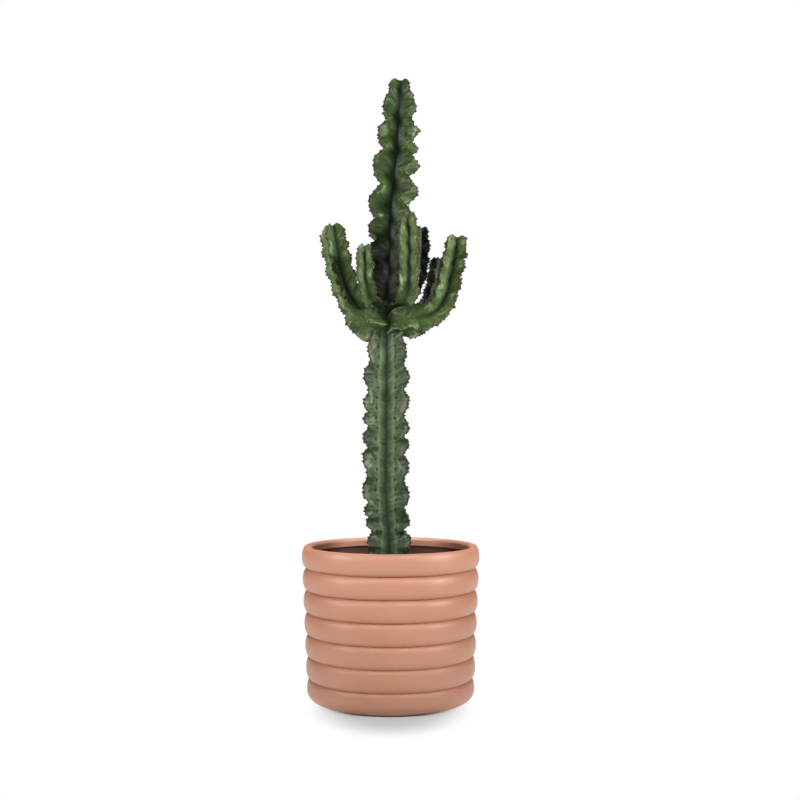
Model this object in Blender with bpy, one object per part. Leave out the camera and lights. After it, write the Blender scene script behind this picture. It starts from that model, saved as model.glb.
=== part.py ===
"""A four-winged candelabra euphorbia with six arms, standing in a pot of stacked rings.

Metres, +Z up. The origin is the centre of the pot's underside, and the front is -Y.
"""
import bisect
import math
import random

import bmesh
import bpy
from mathutils import Vector

# Pot: seven bulged rings on a slightly tapered wall
POT_HEIGHT = 0.2565
POT_RADIUS_TOP = 0.150
POT_RADIUS_BASE = 0.1394
RING_COUNT = 7
GROOVE_DEPTH_TOP = 0.0100
GROOVE_DEPTH_BASE = 0.0062
RIM_INNER_RADIUS = 0.133
RIM_BAND_DEPTH = 0.0145
RIM_ROLL = 0.0050
BAND_EDGE = 0.0020
BAND_UNDERCUT = 0.0030
INNER_RADIUS_TOP = 0.1362
INNER_RADIUS_BASE = 0.1298
FLOOR = 0.012
FLOOR_CORNER = 0.004
FOOT_RADIUS = 0.124
POT_SEGMENTS = 36
CROWN_RADIUS = 0.143
BULGE_ANGLES = (-62, -22, 22, 62)
BULGE_FULLNESS = 0.85

# Soil: fills the pot to below the rim, with a plain hole for the stem
SOIL_TOP = 0.2115
SOIL_BUMP = 0.0035
SOIL_SEGMENTS = 28
SOIL_RINGS = (0.20, 0.48, 0.78)
SOIL_SEED = 11
GAP = 0.0003

# Stem section: four wings round a core, waved towards their edges
WINGS = 4
RING_SPACING = 0.0068
TOOTH = 0.0013
EDGE_HALF = 0.0013
FLANK_FROM_CORE = 0.70
MID_SHARE = 0.50
MID_HALF_SHARE = 0.080
MID_HALF_LEAST = 0.0021
SWAY_AT_MID = 0.30
REACH_WAVE = 0.28
TIP_LENGTH = 0.030
TIP_REACH_SHARE = 0.52
TIP_CORE_SHARE = 0.45
TIP_RISE = 0.006
TIP_DIMPLE = 0.0015
SWAY_LIMIT = 0.20

# Spines: a pair on every second tooth
SPINE_BASE_SHARE = 0.36
SPINE_BASE_LENGTH = 0.0010
SPINE_LENGTH = (0.0030, 0.0045)
SPINE_SPLAY = (0.5, 0.9)
SPINE_TILT = (-0.35, 0.25)
SPINES_ABOVE_SOIL = 0.020

# Trunk
TRUNK_FOOT = 0.130
TRUNK_FOOT_RADIUS = 0.020
BARE_FOOT = 0.004
FOOT_BLEND_LENGTH = 0.018
TRUNK_LINE = (
    (-0.002, 0.000, 0.212), (-0.003, 0.000, 0.268), (-0.0078, 0.001, 0.340), (-0.0079, 0.002, 0.430),
    (-0.0066, 0.001, 0.560), (-0.0044, 0.000, 0.680), (-0.0005, 0.000, 0.774), (0.0027, 0.000, 0.842),
    (0.0095, 0.000, 0.911), (0.0130, 0.000, 0.963), (0.0160, 0.000, 1.038),
)
TRUNK_REACH = (
    (0.212, 0.030), (0.236, 0.046), (0.262, 0.050), (0.276, 0.040), (0.292, 0.046), (0.34, 0.049),
    (0.58, 0.049), (0.70, 0.042), (0.82, 0.043), (0.90, 0.041), (0.96, 0.036), (1.01, 0.029), (1.04, 0.027),
)
TRUNK_SWAY = ((0.212, 0.002), (0.30, 0.004), (0.56, 0.0045), (0.70, 0.006), (0.80, 0.010), (0.96, 0.009),
              (1.00, 0.005), (1.04, 0.001))
TRUNK_CORE = 0.0125
TRUNK_WING_AZIMUTH = 45.0
TRUNK_SEED = 21
LEFT_CRESTS = (0.243, 0.271, 0.299, 0.315, 0.347, 0.406, 0.438, 0.472, 0.492, 0.542, 0.590, 0.650, 0.700,
               0.750, 0.794, 0.834, 0.905, 0.957, 1.003, 1.044)
RIGHT_CRESTS = (0.243, 0.268, 0.293, 0.339, 0.391, 0.428, 0.452, 0.499, 0.540, 0.583, 0.630, 0.672, 0.722,
                0.767, 0.812, 0.864, 0.911, 0.937, 0.962, 1.008, 1.046)
JOINT_REACH = 0.0230
JOINT_HALF_HEIGHT = 0.027
STUB_FLARE = 1.15
STUB_DEPTH = 0.023
STUB_SEGMENTS = 16

# Arms: seat on the trunk, then the centreline up to the tip. The azimuth is that of one wing at the tip.
ARMS = {
    "arm_left": {
        "line": ((-0.027, -0.020, 0.618), (-0.047, -0.027, 0.621), (-0.0630, -0.030, 0.642),
                 (-0.0745, -0.031, 0.675), (-0.0850, -0.032, 0.717), (-0.0940, -0.032, 0.7587),
                 (-0.0980, -0.032, 0.7870)),
        "neck": 0.0125, "reach": 0.0258, "core": 0.0085, "shoulder": 0.001, "azimuth": -125,
        "sway": 0.0038, "joins": "front_left",
    },
    "arm_front_left": {
        "line": ((-0.0250, -0.0220, 0.6705), (-0.0320, -0.0405, 0.6705), (-0.0372, -0.0585, 0.6800),
                 (-0.0408, -0.0680, 0.7010), (-0.0414, -0.0695, 0.7250), (-0.0414, -0.0695, 0.7500)),
        "neck": 0.0095, "reach": 0.0172, "core": 0.0062, "shoulder": 0.0, "azimuth": -130,
        "sway": 0.0020, "joins": "front_left",
    },
    "arm_front_right": {
        "line": ((0.0165, -0.0215, 0.6690), (0.0235, -0.0380, 0.6700), (0.0290, -0.0540, 0.6840),
                 (0.0305, -0.0600, 0.7120), (0.0305, -0.0600, 0.7557), (0.0288, -0.0580, 0.7950)),
        "neck": 0.0095, "reach": 0.0225, "core": 0.0075, "shoulder": 0.0, "azimuth": -135,
        "sway": 0.0026, "joins": "front_right",
    },
    "arm_right": {
        "line": ((0.0165, -0.0195, 0.630), (0.0400, -0.0270, 0.637), (0.0700, -0.0300, 0.6480),
                 (0.0890, -0.0300, 0.676), (0.1000, -0.0300, 0.718), (0.1075, -0.0300, 0.750),
                 (0.1112, -0.0300, 0.7720)),
        "neck": 0.0125, "reach": 0.0215, "core": 0.0078, "shoulder": 0.008, "azimuth": -105,
        "sway": 0.0030, "joins": "front_right",
    },
    "arm_back_right": {
        "line": ((0.0160, 0.0210, 0.692), (0.0310, 0.0350, 0.690), (0.0455, 0.0450, 0.699),
                 (0.0515, 0.0490, 0.726), (0.0530, 0.0500, 0.767), (0.0545, 0.0500, 0.7990)),
        "neck": 0.0095, "reach": 0.0190, "core": 0.0070, "shoulder": 0.0, "azimuth": -120,
        "sway": 0.0024, "joins": "back_right",
    },
    "arm_back_small": {
        "line": ((0.0155, 0.0210, 0.648), (0.0340, 0.0390, 0.647), (0.0530, 0.0570, 0.655),
                 (0.0670, 0.0690, 0.676), (0.0765, 0.0750, 0.708), (0.0815, 0.0760, 0.7500)),
        "neck": 0.0085, "reach": 0.0150, "core": 0.0058, "shoulder": 0.0, "azimuth": -100,
        "sway": 0.0018, "joins": "back_right",
    },
}
WING_NAMES = ("back_right", "back_left", "front_left", "front_right")
NECK_FLARE = 1.15
ARM_BLEND_LENGTH = 0.026
ARM_SPINES_FROM = 0.021
ARM_GROW_LENGTH = 0.040
SHOULDER_AT = 0.028
SHOULDER_LENGTH = 0.015
ARM_CREST_SPACING = (0.020, 0.034)
FIRST_ARM_SEED = 31

COLOURS = {
    "pot": (0.58, 0.26, 0.16), "soil": (0.05, 0.034, 0.022), "trunk": (0.075, 0.135, 0.060),
    "arm": (0.120, 0.200, 0.065),
}


def clear_scene():
    """Take every object out of the open scene."""
    for item in list(bpy.data.objects):
        bpy.data.objects.remove(item, do_unlink=True)


def make_material(name, colour, roughness):
    """One Principled material."""
    material = bpy.data.materials.new(name)
    material.use_nodes = True
    shader = material.node_tree.nodes["Principled BSDF"]
    shader.inputs["Base Color"].default_value = (*colour, 1.0)
    shader.inputs["Roughness"].default_value = roughness
    shader.inputs["Metallic"].default_value = 0.0
    return material


def make_object(name, points, faces, material, smooth=True):
    """A mesh object from points and faces, shaded smooth where its faces are nearly level."""
    mesh = bpy.data.meshes.new(name)
    mesh.from_pydata([tuple(point) for point in points], [], faces)
    mesh.validate()
    if smooth:
        mesh.shade_smooth()
        mesh.set_sharp_from_angle(angle=math.radians(50))
    mesh.materials.append(material)
    item = bpy.data.objects.new(name, mesh)
    bpy.context.scene.collection.objects.link(item)
    return item


def between(table, at):
    """Value at a place in a table of (place, value) pairs, eased from one pair to the next."""
    places = [row[0] for row in table]
    index = bisect.bisect_right(places, at)
    if index == 0:
        return table[0][1]
    if index == len(table):
        return table[-1][1]
    (low, start), (high, end) = table[index - 1], table[index]
    return start + (end - start) * ease((at - low) / (high - low))


def ease(share):
    """Smooth step from 0 to 1."""
    share = min(1.0, max(0.0, share))
    return share * share * (3.0 - 2.0 * share)


def turned(profile, segments):
    """Points and faces of a closed profile of (radius, height) turned about Z."""
    points, faces, rows = [], [], []
    for radius, height in profile:
        if radius < 1e-6:
            rows.append([len(points)] * segments)
            points.append(Vector((0, 0, height)))
            continue
        rows.append(list(range(len(points), len(points) + segments)))
        for step in range(segments):
            angle = 2 * math.pi * step / segments
            points.append(Vector((radius * math.cos(angle), radius * math.sin(angle), height)))
    for lower, upper in zip(rows, rows[1:]):
        for step in range(segments):
            after = (step + 1) % segments
            corners = [lower[step], lower[after], upper[after], upper[step]]
            faces.append([corner for place, corner in enumerate(corners) if corner not in corners[:place]])
    return points, faces


def ring_edges(index):
    """Radius of the groove below ring number index, counted from the base, and its height."""
    share = index / RING_COUNT
    radius = POT_RADIUS_BASE + (POT_RADIUS_TOP - POT_RADIUS_BASE) * share
    depth = GROOVE_DEPTH_BASE + (GROOVE_DEPTH_TOP - GROOVE_DEPTH_BASE) * share
    return radius - depth, POT_HEIGHT * share


def pot_inner_radius(height):
    """Radius of the wall's inner side at a height."""
    return INNER_RADIUS_BASE + (INNER_RADIUS_TOP - INNER_RADIUS_BASE) * height / POT_HEIGHT


def pot_profile():
    """The pot's section from the middle of its underside, up the outside, over the rim and back to its floor."""
    half = POT_HEIGHT / RING_COUNT / 2
    profile = [(0.0, 0.0), (FOOT_RADIUS, 0.0)]
    for index in range(RING_COUNT):
        low_radius, low_height = ring_edges(index)
        high_radius, _ = ring_edges(index + 1)
        crest = POT_RADIUS_BASE + (POT_RADIUS_TOP - POT_RADIUS_BASE) * (index + 0.5) / RING_COUNT
        if index > 0:
            profile.append((low_radius, low_height))
        for angle in BULGE_ANGLES:
            up, out = math.sin(math.radians(angle)), math.cos(math.radians(angle))
            if index == 0 and up < 0:
                radius = FOOT_RADIUS + (crest - FOOT_RADIUS) * out
            elif index == RING_COUNT - 1 and up > 0:
                radius = CROWN_RADIUS + (crest - CROWN_RADIUS) * out
            else:
                groove = low_radius if up < 0 else high_radius
                radius = groove + (crest - groove) * out ** BULGE_FULLNESS
            profile.append((radius, low_height + half * (1 + up)))
    band = POT_HEIGHT - RIM_BAND_DEPTH
    profile += [
        (CROWN_RADIUS, POT_HEIGHT), (CROWN_RADIUS - RIM_ROLL, POT_HEIGHT - RIM_ROLL / 6),
        (RIM_INNER_RADIUS, POT_HEIGHT - RIM_ROLL), (RIM_INNER_RADIUS, band + BAND_EDGE),
        (RIM_INNER_RADIUS + BAND_EDGE, band), (pot_inner_radius(band - BAND_UNDERCUT), band - BAND_UNDERCUT),
        (pot_inner_radius(FLOOR + FLOOR_CORNER), FLOOR + FLOOR_CORNER),
        (pot_inner_radius(FLOOR) - FLOOR_CORNER, FLOOR), (0.0, FLOOR),
    ]
    return profile


def build_pot():
    """The hollow pot with its closed floor and rolled rim."""
    points, faces = turned(pot_profile(), POT_SEGMENTS)
    return make_object("pot", points, faces, make_material("pot", COLOURS["pot"], 0.62))


def build_soil():
    """Soil that fills the pot, uneven on top, with a round hole for the stem's foot."""
    rng = random.Random(SOIL_SEED)
    hole = TRUNK_FOOT_RADIUS + GAP
    foot_x, foot_y = TRUNK_LINE[0][:2]
    hole_floor = TRUNK_FOOT - GAP
    low = FLOOR + FLOOR_CORNER + GAP
    rim = pot_inner_radius(SOIL_TOP) - 2 * GAP
    base = pot_inner_radius(low) - 2 * GAP
    outline = [(0.0, low, True), (base, low, True), (rim, SOIL_TOP, True)]
    outline += [(hole + (rim - hole) * share, SOIL_TOP, False) for share in reversed(SOIL_RINGS)]
    outline += [(hole, SOIL_TOP, False), (hole, hole_floor, False), (0.0, hole_floor, False)]
    points, faces = turned([row[:2] for row in outline], SOIL_SEGMENTS)
    for point in points:
        radius = math.hypot(point.x, point.y)
        if point.z == SOIL_TOP and hole + 0.001 < radius < rim - 0.001:
            point.z += rng.uniform(-SOIL_BUMP, SOIL_BUMP)
        if radius < rim - 0.001 and point.z > low + 0.001:
            share = 1.0 - max(0.0, radius - hole) / (rim - hole)
            point.x += foot_x * share
            point.y += foot_y * share
    return make_object("soil", points, faces, make_material("soil", COLOURS["soil"], 0.95), smooth=False)


def smooth_line(corners, spacing):
    """Evenly spaced places along a smooth curve through the corner points."""
    corners = [Vector(corner) for corner in corners]
    corners = [corners[0] * 2 - corners[1]] + corners + [corners[-1] * 2 - corners[-2]]
    fine = []
    for before, start, end, after in zip(corners, corners[1:], corners[2:], corners[3:]):
        for step in range(24):
            t = step / 24
            fine.append(0.5 * (2 * start + (end - before) * t + (2 * before - 5 * start + 4 * end - after) * t * t
                               + (3 * start - before - 3 * end + after) * t ** 3))
    fine.append(corners[-2])
    lengths = [0.0]
    for start, end in zip(fine, fine[1:]):
        lengths.append(lengths[-1] + (end - start).length)
    count = max(2, round(lengths[-1] / spacing))
    places = []
    for step in range(count + 1):
        along = lengths[-1] * step / count
        index = min(len(fine) - 2, max(0, bisect.bisect_right(lengths, along) - 1))
        share = (along - lengths[index]) / (lengths[index + 1] - lengths[index])
        places.append(fine[index].lerp(fine[index + 1], share))
    return places, lengths[-1] / count


def frames_along(places, azimuth):
    """Tangent and two cross directions at each place, carried back from the tip without twist."""
    tangents = []
    for index in range(len(places)):
        start = places[max(0, index - 1)]
        end = places[min(len(places) - 1, index + 1)]
        tangents.append((end - start).normalized())
    angle = math.radians(azimuth)
    side = Vector((math.cos(angle), math.sin(angle), 0.0))
    sides = []
    for tangent in reversed(tangents):
        side = (side - tangent * side.dot(tangent)).normalized()
        sides.append(side)
    sides.reverse()
    return [(tangent, side, tangent.cross(side)) for tangent, side in zip(tangents, sides)]


def wave_at(crests, at):
    """A wave from -1 to 1 whose crests lie at the given places, with the spacing of the crests there."""
    index = min(len(crests) - 2, max(0, bisect.bisect_right(crests, at) - 1))
    spacing = crests[index + 1] - crests[index]
    return math.cos(2 * math.pi * (at - crests[index]) / spacing), spacing


def wing_points(direction, across, form):
    """Five points of one wing's section: the valley before it, its flank, its edge twice, its other flank."""
    reach, core, sway, roundness = form["reach"], form["core"], form["sway"], form["roundness"]
    start = core * FLANK_FROM_CORE
    middle = start + (reach - start) * MID_SHARE
    middle_half = max(MID_HALF_LEAST, reach * MID_HALF_SHARE)
    winged = (
        (core * math.cos(math.pi / 4), -core * math.sin(math.pi / 4)),
        (middle, -middle_half + sway * SWAY_AT_MID),
        (reach, -EDGE_HALF + sway),
        (reach, EDGE_HALF + sway),
        (middle, middle_half + sway * SWAY_AT_MID),
    )
    points = []
    for place, (along, aside) in enumerate(winged):
        angle = math.radians(-45 + 90 * place / len(winged))
        round_along, round_aside = form["round_radius"] * math.cos(angle), form["round_radius"] * math.sin(angle)
        along += (round_along - along) * roundness
        aside += (round_aside - aside) * roundness
        lift = form["rise"] * min(1.0, math.hypot(along, aside) / max(reach, 1e-6))
        points.append(direction * along + across * aside + form["tangent"] * lift)
    return points


def spine_tip(base, outward, aside, tangent, rng):
    """Tip of one spine that stands out from its base."""
    heading = outward + aside * rng.uniform(*SPINE_SPLAY) + tangent * rng.uniform(*SPINE_TILT)
    return base + heading.normalized() * rng.uniform(*SPINE_LENGTH)


def stem_mesh(places, frames, form_at, spined, seed):
    """Points and faces of a winged stem, closed at both ends, with spine pairs on every second tooth.

    form_at(ring, wing) gives the section's values there. Each wing's two faces are split alike.
    """
    rng = random.Random(seed)
    points, faces, rings = [], [], []
    per_wing = 5
    for ring, (place, (tangent, side, third)) in enumerate(zip(places, frames)):
        row = []
        for wing in range(WINGS):
            angle = 2 * math.pi * wing / WINGS
            direction = side * math.cos(angle) + third * math.sin(angle)
            across = third * math.cos(angle) - side * math.sin(angle)
            form = dict(form_at(ring, wing), tangent=tangent)
            for offset in wing_points(direction, across, form):
                row.append(len(points))
                points.append(place + offset)
        rings.append(row)

    def spine_pair(ring, wing):
        """Add a pair of spines at the foot of the edge's stretch above a ring. Gives the points that they add."""
        left, right = rings[ring][wing * per_wing + 2], rings[ring][wing * per_wing + 3]
        above_left, above_right = rings[ring + 1][wing * per_wing + 2], rings[ring + 1][wing * per_wing + 3]
        tangent, side, third = frames[ring]
        angle = 2 * math.pi * wing / WINGS
        outward = side * math.cos(angle) + third * math.sin(angle)
        width = points[right] - points[left]
        share = SPINE_BASE_LENGTH / (points[above_left] - points[left]).length
        start = len(points)
        points.append(points[left] + width * SPINE_BASE_SHARE)
        points.append(points[right] - width * SPINE_BASE_SHARE)
        points.append(points[left].lerp(points[above_left], share))
        points.append(points[right].lerp(points[above_right], share))
        points.append(spine_tip(points[left], outward, -width.normalized(), tangent, rng))
        points.append(spine_tip(points[right], outward, width.normalized(), tangent, rng))
        return dict(zip(("in_left", "in_right", "up_left", "up_right", "tip_left", "tip_right"),
                        range(start, start + 6)))

    spines = {}
    for ring in range(2, len(places) - 2):
        for wing in range(WINGS):
            if spined(ring) and (ring + 2 * (wing % 2)) % 4 == 0:
                spines[ring, wing] = spine_pair(ring, wing)

    for ring in range(len(places) - 1):
        low, high = rings[ring], rings[ring + 1]
        for wing in range(WINGS):
            base = wing * per_wing
            valley, flank, left, right, far_flank = base, base + 1, base + 2, base + 3, base + 4
            next_valley = (base + 5) % (WINGS * per_wing)
            faces += [(low[valley], low[flank], high[flank]), (low[valley], high[flank], high[valley])]
            faces += [(low[next_valley], high[far_flank], low[far_flank]),
                      (low[next_valley], high[next_valley], high[far_flank])]
            here, above = spines.get((ring, wing)), spines.get((ring + 1, wing))
            if here:
                faces += [
                    (low[flank], low[left], here["up_left"]), (low[flank], here["up_left"], high[left]),
                    (low[far_flank], here["up_right"], low[right]), (low[far_flank], high[right], here["up_right"]),
                    (low[left], here["in_left"], here["tip_left"]),
                    (here["in_left"], here["up_left"], here["tip_left"]),
                    (here["up_left"], low[left], here["tip_left"]),
                    (here["in_right"], low[right], here["tip_right"]),
                    (low[right], here["up_right"], here["tip_right"]),
                    (here["up_right"], here["in_right"], here["tip_right"]),
                    (here["in_left"], here["in_right"], here["up_right"]),
                    (here["in_left"], here["up_right"], here["up_left"]),
                    (here["up_left"], here["up_right"], high[right]),
                    (here["up_left"], high[right], high[left]),
                ]
            else:
                faces += [(low[flank], low[left], high[left]), (low[far_flank], high[right], low[right])]
                if above:
                    faces += [
                        (low[left], low[right], high[right]), (low[left], high[right], above["in_right"]),
                        (low[left], above["in_right"], above["in_left"]), (low[left], above["in_left"], high[left]),
                    ]
                else:
                    faces += [(low[left], low[right], high[right]), (low[left], high[right], high[left])]
            faces += [(low[flank], high[left], high[flank]), (low[far_flank], high[far_flank], high[right])]

    foot, top = len(points), len(points) + 1
    points.append(sum((points[index] for index in rings[0]), Vector()) / len(rings[0]))
    points.append(places[-1] - frames[-1][0] * TIP_DIMPLE)
    around = len(rings[0])
    for step in range(around):
        after = (step + 1) % around
        faces.append((foot, rings[0][after], rings[0][step]))
        faces.append((top, rings[-1][step], rings[-1][after]))
    return points, faces


def tip_shape(left):
    """Share of the full reach that is left at a distance from the tip, and how far the wings rise there."""
    share = min(1.0, left / TIP_LENGTH)
    left_share = TIP_REACH_SHARE + (1 - TIP_REACH_SHARE) * math.sqrt(1 - (1 - share) ** 2)
    return left_share, TIP_RISE * (1 - share) ** 2


def tip_core(core, tip_share):
    """Radius of the core where the wings have a share of their reach left."""
    return core * (TIP_CORE_SHARE + (1 - TIP_CORE_SHARE) * tip_share)


def build_trunk():
    """The main stem: round where it stands in the soil, winged from there to its blunt tip."""
    places, _ = smooth_line(TRUNK_LINE, RING_SPACING)
    frames = frames_along(places, TRUNK_WING_AZIMUTH)
    rooted = [Vector((*TRUNK_LINE[0][:2], height)) for height in (TRUNK_FOOT, SOIL_TOP + BARE_FOOT)]
    upright = (Vector((0, 0, 1)), frames[0][1], frames[0][2])
    buried = sum(place.z < SOIL_TOP + BARE_FOOT + RING_SPACING / 2 for place in places)
    places = rooted + places[buried:]
    frames = [upright, upright] + frames[buried:]
    end = places[-1].z

    def form_at(ring, wing):
        height = places[ring].z
        left_side = WING_NAMES[wing] in ("front_left", "back_left")
        wave, spacing = wave_at(LEFT_CRESTS if left_side else RIGHT_CRESTS, height)
        outward = -1.0 if WING_NAMES[wing] in ("front_left", "back_right") else 1.0
        sway = min(between(TRUNK_SWAY, height), spacing * SWAY_LIMIT)
        tip_share, rise = tip_shape(end - height)
        reach = between(TRUNK_REACH, height)
        seats = [arm["line"][0][2] for arm in ARMS.values() if arm["joins"] == WING_NAMES[wing]]
        joint = min(1.0, sum(math.exp(-(((height - seat) / JOINT_HALF_HEIGHT) ** 4)) for seat in seats))
        reach += (JOINT_REACH - reach) * joint
        tooth = TOOTH if (ring + 2 * (wing % 2)) % 2 == 0 else -TOOTH
        reach = (reach + REACH_WAVE * sway * wave * (1 - joint)) * tip_share + tooth * (1 - joint)
        return {
            "reach": reach, "core": tip_core(TRUNK_CORE, tip_share), "rise": rise,
            "sway": outward * wave * sway * (1 - joint) * tip_share,
            "roundness": 1.0 if ring < 2 else 1.0 - ease((height - SOIL_TOP - BARE_FOOT) / FOOT_BLEND_LENGTH),
            "round_radius": TRUNK_FOOT_RADIUS,
        }

    def spined(ring):
        return places[ring].z > SOIL_TOP + SPINES_ABOVE_SOIL

    points, faces = stem_mesh(places, frames, form_at, spined, TRUNK_SEED)
    trunk = make_object("trunk", points, faces, make_material("trunk", COLOURS["trunk"], 0.5))
    fuse_stubs(trunk)
    return trunk


def arm_line(arm):
    """Places and frames along an arm, whose first place lies on its seat."""
    places, spacing = smooth_line(arm["line"], RING_SPACING)
    return places, frames_along(places, arm["azimuth"]), spacing


def fuse_stubs(trunk):
    """Grow a short round stub out of the trunk to each arm's seat."""
    stubs = bpy.data.collections.new("stubs")
    bpy.context.scene.collection.children.link(stubs)
    for name, arm in ARMS.items():
        places, frames, _ = arm_line(arm)
        tangent = frames[0][0]
        mesh = bpy.data.meshes.new("stub_" + name)
        shape = bmesh.new()
        bmesh.ops.create_cone(shape, cap_ends=True, segments=STUB_SEGMENTS, radius1=arm["neck"] * STUB_FLARE,
                              radius2=arm["neck"], depth=STUB_DEPTH)
        shape.to_mesh(mesh)
        shape.free()
        stub = bpy.data.objects.new("stub_" + name, mesh)
        stub.rotation_mode = "QUATERNION"
        stub.rotation_quaternion = tangent.to_track_quat("Z", "Y")
        stub.location = places[0] - tangent * (STUB_DEPTH / 2 + GAP)
        stub.hide_render = True
        stub.display_type = "WIRE"
        stubs.objects.link(stub)
    union = trunk.modifiers.new("stubs", "BOOLEAN")
    union.operation = "UNION"
    union.operand_type = "COLLECTION"
    union.collection = stubs
    bpy.context.view_layer.update()
    joined = bpy.data.meshes.new_from_object(trunk.evaluated_get(bpy.context.evaluated_depsgraph_get()))
    trunk.modifiers.clear()
    trunk.data = joined
    for stub in list(stubs.objects):
        bpy.data.objects.remove(stub, do_unlink=True)
    bpy.data.collections.remove(stubs)


def arm_crests(length, rng):
    """Places of a wing's wave crests along an arm."""
    crests = [rng.uniform(-0.02, 0.0)]
    while crests[-1] < length + 0.01:
        crests.append(crests[-1] + rng.uniform(*ARM_CREST_SPACING))
    return crests


def build_arm(name, arm, seed):
    """One arm: a round neck at its seat that widens into four waved wings."""
    places, frames, spacing = arm_line(arm)
    length = spacing * (len(places) - 1)
    rng = random.Random(seed)
    crests = [arm_crests(length, rng) for _ in range(WINGS)]
    start = arm["neck"] * NECK_FLARE

    def form_at(ring, wing):
        along = ring * spacing
        wave, crest_spacing = wave_at(crests[wing], along)
        grown = ease(along / ARM_GROW_LENGTH)
        tip_share, rise = tip_shape(length - along)
        sway = min(arm["sway"], crest_spacing * SWAY_LIMIT) * ease(along / ARM_BLEND_LENGTH) * tip_share
        tooth = (TOOTH if (ring + 2 * (wing % 2)) % 2 == 0 else -TOOTH) * ease(along / ARM_BLEND_LENGTH)
        reach = start + (arm["reach"] - start) * grown + REACH_WAVE * sway * wave
        reach += arm["shoulder"] * math.exp(-(((along - SHOULDER_AT) / SHOULDER_LENGTH) ** 2))
        reach *= tip_share
        return {
            "reach": reach + tooth, "core": tip_core(arm["core"], tip_share), "rise": rise,
            "sway": wave * sway, "roundness": 1.0 - ease(along / ARM_BLEND_LENGTH),
            "round_radius": arm["neck"],
        }

    def spined(ring):
        return ring * spacing > ARM_SPINES_FROM

    points, faces = stem_mesh(places, frames, form_at, spined, seed)
    return make_object(name, points, faces, make_material(name, COLOURS["arm"], 0.5))


def main():
    """Build every piece of the plant and its pot."""
    clear_scene()
    build_pot()
    build_soil()
    build_trunk()
    for number, (name, arm) in enumerate(ARMS.items()):
        build_arm(name, arm, FIRST_ARM_SEED + number)


main()
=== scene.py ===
import math
import random

import bpy
import numpy as np
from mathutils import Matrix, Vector, noise


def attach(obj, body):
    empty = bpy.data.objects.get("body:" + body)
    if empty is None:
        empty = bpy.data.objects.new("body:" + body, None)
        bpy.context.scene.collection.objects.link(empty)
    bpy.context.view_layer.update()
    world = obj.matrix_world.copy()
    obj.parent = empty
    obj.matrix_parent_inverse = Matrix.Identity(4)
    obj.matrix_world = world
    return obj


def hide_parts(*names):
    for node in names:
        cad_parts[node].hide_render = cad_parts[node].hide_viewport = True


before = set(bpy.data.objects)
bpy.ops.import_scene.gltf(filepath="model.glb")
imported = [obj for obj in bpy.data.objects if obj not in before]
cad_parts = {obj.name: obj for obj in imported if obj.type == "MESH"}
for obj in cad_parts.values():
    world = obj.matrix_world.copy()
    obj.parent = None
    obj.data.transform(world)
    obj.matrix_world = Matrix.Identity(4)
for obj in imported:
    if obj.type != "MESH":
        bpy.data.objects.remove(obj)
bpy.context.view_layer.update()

print("frame loaded with", len(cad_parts), "nodes")


# Small helpers for curves, tables and meshes

fullTurn = 2 * math.pi
curveSteps = 24    # fine steps from corner to corner of a smooth line


def eased(share):
    share = np.clip(share, 0.0, 1.0)
    return share * share * (3.0 - 2.0 * share)


def fade(value, start, length):
    # 0 up to the start, 1 once the length is past
    return eased((value - start) / length)


def window(value, rising, falling):
    # 1 between a rising and a falling stretch, each a (start, length) pair
    return fade(value, *rising) * (1 - fade(value, *falling))


def bell(distance, width, power=2):
    return np.exp(-(distance / width) ** power)


def lookUp(pairs, at):
    # value at a place in a list of (place, value) pairs, eased from pair to pair
    places = np.array([pair[0] for pair in pairs])
    values = np.array([pair[1] for pair in pairs])
    index = np.clip(np.searchsorted(places, at, side="right") - 1, 0, len(places) - 2)
    share = eased((at - places[index]) / (places[index + 1] - places[index]))
    return values[index] + (values[index + 1] - values[index]) * share


def smoothLine(corners, spacing):
    # evenly spaced places on a smooth curve through the corners, and how far along each one is
    corners = [np.array(corner, dtype=float) for corner in corners]
    corners = [corners[0] * 2 - corners[1]] + corners + [corners[-1] * 2 - corners[-2]]
    fine = []
    for before, start, end, after in zip(corners, corners[1:], corners[2:], corners[3:]):
        for t in np.arange(0, 1, 1 / curveSteps):
            square = (2 * before - 5 * start + 4 * end - after) * t * t
            cube = (3 * start - before - 3 * end + after) * t ** 3
            fine.append(0.5 * (2 * start + (end - before) * t + square + cube))
    fine.append(corners[-2])
    fine = np.array(fine)
    lengths = np.concatenate([[0.0], np.cumsum(np.linalg.norm(np.diff(fine, axis=0), axis=1))])
    count = max(2, round(lengths[-1] / spacing))
    along = np.linspace(0.0, lengths[-1], count + 1)
    places = np.stack([np.interp(along, lengths, fine[:, axis]) for axis in range(3)], axis=1)
    return places, along


def framesAlong(places, azimuth):
    # tangent and two cross directions, carried back from the tip without twist
    tangents = np.gradient(places, axis=0)
    tangents /= np.linalg.norm(tangents, axis=1)[:, None]
    angle = math.radians(azimuth)
    side = np.array((math.cos(angle), math.sin(angle), 0.0))
    sides = np.zeros_like(tangents)
    for index in range(len(places) - 1, -1, -1):
        side = side - tangents[index] * side.dot(tangents[index])
        side /= np.linalg.norm(side)
        sides[index] = side
    return tangents, sides, np.cross(tangents, sides)


def waveAlong(crests, at):
    # wave from -1 to 1 with its crests at the given places, the crest spacing and the phase there
    crests = np.array(crests)
    index = np.clip(np.searchsorted(crests, at, side="right") - 1, 0, len(crests) - 2)
    spacing = crests[index + 1] - crests[index]
    phase = (at - crests[index]) / spacing
    return np.cos(fullTurn * phase), spacing, phase % 1.0


def circle(steps):
    # x and y of places round a circle of radius 1
    angles = np.arange(steps) * fullTurn / steps
    return np.cos(angles), np.sin(angles)


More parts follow.
